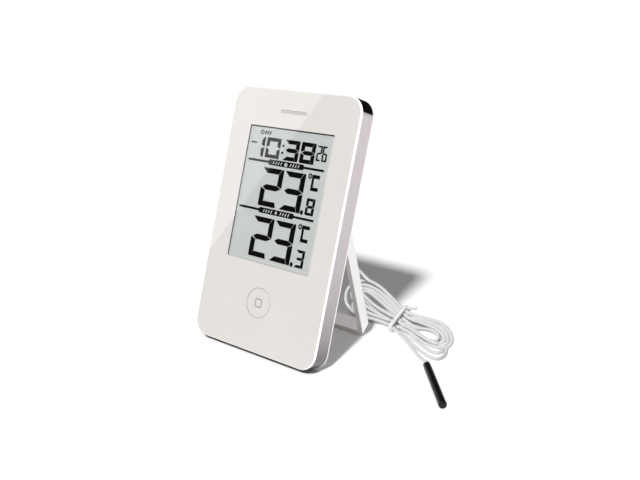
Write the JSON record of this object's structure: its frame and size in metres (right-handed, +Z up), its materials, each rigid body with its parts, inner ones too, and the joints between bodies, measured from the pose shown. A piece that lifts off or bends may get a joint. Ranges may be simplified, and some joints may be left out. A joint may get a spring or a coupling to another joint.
{
  "type": "maximum minimum thermometer",
  "caption": "Flat upright digital thermometer case with display and front button, leaning on a folding open-frame stand, with a black sensor probe on a tied coil of cable.",
  "frame": {"origin": "middle of the case's lower back edge, where it rests on the table", "axes": "+X to the right seen from the front, +Y to the back, +Z up; the case leans back 17.7 degrees with its display facing -Y"},
  "size_m": [0.1195, 0.0775, 0.1071],
  "materials": {
    "panel_white": "glossy, faintly warm white",
    "window_clear": "clear gloss",
    "slot_grey": "satin pale grey",
    "mark_grey": "printed grey",
    "band_silver": "pearl silver with a pink tint",
    "cap_black": "deep gloss black",
    "cover_white": "fine satin white",
    "stand_white": "fine satin white",
    "button_grey": "satin grey",
    "screw_steel": "zinc plated",
    "brass_contact": "satin",
    "spring_steel": "nickel plated",
    "lcd_glass": "pale grey-green display",
    "lcd_ink": "dark lit segments",
    "reflector": "satin",
    "frame_white": "satin",
    "elastomer": "satin",
    "board_green": "solder mask",
    "resin_black": "moulded resin",
    "crystal_can": "drawn can",
    "ceramic_tan": "ceramic",
    "cell_label": "printed sleeve",
    "cable_white": "soft satin sheath",
    "tie_white": "gloss white",
    "probe_black": "semi-gloss black",
    "collar_pale": "milky sealant"
  },
  "bodies": {
    "case": {"front_panel": "panel_white", "display_window": "window_clear", "slot_insert": "slot_grey", "side_band": "band_silver", "top_cap": "cap_black", "back_cover": "cover_white", "case_screws": "screw_steel", "board_screws": "brass_contact", "lcd_cell": "lcd_glass", "lcd_segments": "lcd_ink", "lcd_reflector": "reflector", "lcd_frame": "frame_white", "zebra_strip": "elastomer", "circuit_board": "board_green", "controller_chip": "resin_black", "quartz_crystal": "crystal_can", "capacitors": "ceramic_tan", "front_switch": "resin_black", "rear_switches": "resin_black", "room_sensor": "resin_black", "battery_cell": "cell_label", "battery_spring": "spring_steel", "battery_plate": "spring_steel", "cable_grommet": "collar_pale", "probe_cable": "cable_white", "sensor_wires": "cable_white", "cable_tie": "tie_white", "probe_tube": "probe_black", "probe_collar": "collar_pale", "probe_sensor": "resin_black"},
    "stand": {"stand": "stand_white"},
    "front_button": {"front_button": "panel_white", "button_icon": "mark_grey"},
    "battery_door": {"battery_door": "cover_white"},
    "rear_button_left": {"rear_button_left": "button_grey"},
    "rear_button_right": {"rear_button_right": "button_grey"}
  },
  "joints": [
    {"name": "stand_hinge", "type": "hinge", "parent": "case", "child": "stand", "pos_m": [0, 0.02197, 0.05949], "axis": [1, 0, 0], "range_deg": [-34.4, 0]},
    {"name": "front_button_press", "type": "slide", "parent": "case", "child": "front_button", "axis": [0, 0.9527, -0.304], "range_m": [0, 0.0004], "stiffness_N_per_m": 300},
    {"name": "battery_door_slide", "type": "slide", "parent": "case", "child": "battery_door", "axis": [0, -0.304, -0.9527], "range_m": [0, 0.005], "stiffness_N_per_m": 60},
    {"name": "rear_button_left_press", "type": "slide", "parent": "case", "child": "rear_button_left", "axis": [0, -0.9527, 0.304], "range_m": [0, 0.0004], "stiffness_N_per_m": 300},
    {"name": "rear_button_right_press", "type": "slide", "parent": "case", "child": "rear_button_right", "axis": [0, -0.9527, 0.304], "range_m": [0, 0.0004], "stiffness_N_per_m": 300}
  ]
}
